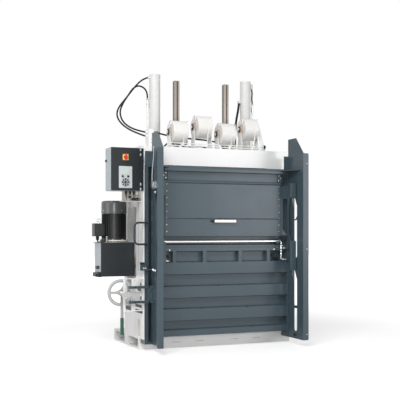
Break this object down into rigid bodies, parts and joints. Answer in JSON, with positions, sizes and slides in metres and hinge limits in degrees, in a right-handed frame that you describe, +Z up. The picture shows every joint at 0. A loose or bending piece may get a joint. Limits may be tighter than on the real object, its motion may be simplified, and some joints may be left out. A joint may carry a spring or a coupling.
{
  "type": "recycling baler",
  "caption": "Vertical press for baling waste, with a hinged ribbed door, sliding loading flap, strap reels, power pack and door lock.",
  "frame": {"origin": "floor level, middle of the front edge of the base", "axes": "+Z up, +X to the right as seen from the front, the door faces -Y"},
  "size_m": [2.207, 1.396, 2.985],
  "materials": {
    "white_paint": "satin",
    "bare_steel": "satin",
    "guide_plastic": "satin",
    "chrome": "polished",
    "stainless": "satin",
    "zinc": "satin",
    "hose_rubber": "satin",
    "cable_grey": "satin",
    "strap_white": "satin",
    "housing_paint": "satin",
    "black_plastic": "satin",
    "keypad_grey": "satin",
    "key_grey": "satin",
    "yellow_plastic": "satin",
    "red_plastic": "satin",
    "cast_grey": "satin",
    "dark_paint": "satin",
    "grip_green": "satin"
  },
  "bodies": {
    "frame": {"base_frame": "white_paint", "side_frame_left": "white_paint", "side_frame_right": "white_paint", "chamber_liner": "white_paint", "chamber_floor": "bare_steel", "top_beam": "white_paint", "pole_guides": "guide_plastic", "cylinder_left": "white_paint", "cylinder_right": "white_paint", "hydraulic_pipes": "zinc", "hose_bulkhead": "white_paint", "hose_outer": "hose_rubber", "hose_inner": "hose_rubber", "hose_right": "hose_rubber", "hose_cross": "hose_rubber", "reel_stands": "white_paint", "cabinet_box": "housing_paint", "cable_glands": "black_plastic", "oil_tank": "housing_paint", "pump_flange": "cast_grey", "motor_body": "housing_paint", "terminal_box": "housing_paint", "fan_cowl": "housing_paint", "lock_cage": "white_paint"},
    "platen": {"platen": "white_paint", "piston_rods": "chrome", "guide_poles": "stainless"},
    "door": {"door_panel": "dark_paint", "door_frame": "dark_paint", "wing_right": "dark_paint", "wing_left": "dark_paint", "door_handle": "black_plastic", "door_prongs": "dark_paint", "side_latch": "dark_paint", "limit_switch": "black_plastic", "switch_cable": "cable_grey"},
    "flap": {"flap": "dark_paint", "flap_sides": "dark_paint", "flap_handle": "white_paint"},
    "locking_bar": {"locking_bar": "chrome"},
    "spring_bolt": {"spring_bolt": "chrome"},
    "handwheel": {"handwheel": "cast_grey"},
    "lock_spindle": {"lock_spindle": "bare_steel"},
    "lock_head": {"lock_head": "bare_steel"},
    "ratchet_lever": {"ratchet_lever": "bare_steel", "lever_grip": "grip_green"},
    "cabinet_door": {"cabinet_door": "housing_paint", "keypad_plate": "keypad_grey", "switch_plate": "yellow_plastic"},
    "switch_knob": {"switch_knob": "red_plastic"},
    "key_left": {"key_left": "key_grey"},
    "key_right": {"key_right": "key_grey"},
    "key_centre": {"key_centre": "key_grey"},
    "key_pad": {"key_pad": "key_grey"},
    "cabinet_latch": {"cabinet_latch": "black_plastic"},
    "reel_1": {"strap_reel_1": "strap_white"},
    "reel_2": {"strap_reel_2": "strap_white"},
    "reel_3": {"strap_reel_3": "strap_white"},
    "reel_4": {"strap_reel_4": "strap_white"},
    "fan": {"fan": "black_plastic"}
  },
  "joints": [
    {"name": "press_stroke", "type": "slide", "parent": "frame", "child": "platen", "axis": [0, 0, -1], "range_m": [0, 0.88]},
    {"name": "door_swing", "type": "hinge", "parent": "frame", "child": "door", "pos_m": [0.893, -0.04, 1], "axis": [0, 0, 1], "range_deg": [0, 120]},
    {"name": "flap_slide", "type": "slide", "parent": "door", "child": "flap", "axis": [0, 0, -1], "range_m": [0, 0.65]},
    {"name": "bar_turn", "type": "hinge", "parent": "door", "child": "locking_bar", "pos_m": [0, -0.16, 1.134], "axis": [-1, 0, 0], "range_deg": [0, 90]},
    {"name": "bolt_pull", "type": "slide", "parent": "door", "child": "spring_bolt", "axis": [-1, 0, 0], "range_m": [0, 0.012], "stiffness_N_per_m": 900},
    {"name": "wheel_turn", "type": "hinge", "parent": "frame", "child": "handwheel", "pos_m": [-1.043, 0.172, 0.592], "axis": [0, 1, 0], "range_deg": [0, 300]},
    {"name": "spindle_draw", "type": "slide", "parent": "frame", "child": "lock_spindle", "axis": [0, 1, 0], "range_m": [0, 0.005]},
    {"name": "head_turn", "type": "hinge", "parent": "lock_spindle", "child": "lock_head", "pos_m": [-1.043, -0.196, 0.592], "axis": [0, 1, 0], "range_deg": [0, 90]},
    {"name": "lever_swing", "type": "hinge", "parent": "frame", "child": "ratchet_lever", "pos_m": [-1.043, 0.112, 0.592], "axis": [0, 1, 0], "range_deg": [-10, 80]},
    {"name": "cabinet_door_swing", "type": "hinge", "parent": "frame", "child": "cabinet_door", "pos_m": [-0.929, -0.161, 1.8765], "axis": [0, 0, 1], "range_deg": [0, 90]},
    {"name": "main_switch_turn", "type": "hinge", "parent": "cabinet_door", "child": "switch_knob", "pos_m": [-1.089, -0.18, 1.998], "axis": [0, 1, 0], "range_deg": [0, 90]},
    {"name": "key_left_press", "type": "slide", "parent": "cabinet_door", "child": "key_left", "axis": [0, 1, 0], "range_m": [0, 0.0015], "stiffness_N_per_m": 400},
    {"name": "key_right_press", "type": "slide", "parent": "cabinet_door", "child": "key_right", "axis": [0, 1, 0], "range_m": [0, 0.0015], "stiffness_N_per_m": 400},
    {"name": "key_centre_press", "type": "slide", "parent": "cabinet_door", "child": "key_centre", "axis": [0, 1, 0], "range_m": [0, 0.0015], "stiffness_N_per_m": 400},
    {"name": "key_pad_press", "type": "slide", "parent": "cabinet_door", "child": "key_pad", "axis": [0, 1, 0], "range_m": [0, 0.0015], "stiffness_N_per_m": 400},
    {"name": "latch_turn", "type": "hinge", "parent": "frame", "child": "cabinet_latch", "pos_m": [-1.247, 0.017, 1.967], "axis": [1, 0, 0], "range_deg": [0, 90]},
    {"name": "reel_1_spin", "type": "hinge", "parent": "frame", "child": "reel_1", "pos_m": [-0.422, 0.1, 2.312], "axis": [1, 0, 0], "continuous": true},
    {"name": "reel_2_spin", "type": "hinge", "parent": "frame", "child": "reel_2", "pos_m": [-0.141, 0.1, 2.378], "axis": [1, 0, 0], "continuous": true},
    {"name": "reel_3_spin", "type": "hinge", "parent": "frame", "child": "reel_3", "pos_m": [0.141, 0.1, 2.312], "axis": [1, 0, 0], "continuous": true},
    {"name": "reel_4_spin", "type": "hinge", "parent": "frame", "child": "reel_4", "pos_m": [0.422, 0.1, 2.378], "axis": [1, 0, 0], "continuous": true},
    {"name": "fan_spin", "type": "hinge", "parent": "frame", "child": "fan", "pos_m": [-1.073, 0.309, 1.476], "axis": [0, 0, 1], "continuous": true}
  ],
  "couplings": [
    {"joint": "spindle_draw", "follows": "wheel_turn", "m_per_rad": 0.00095493}
  ]
}
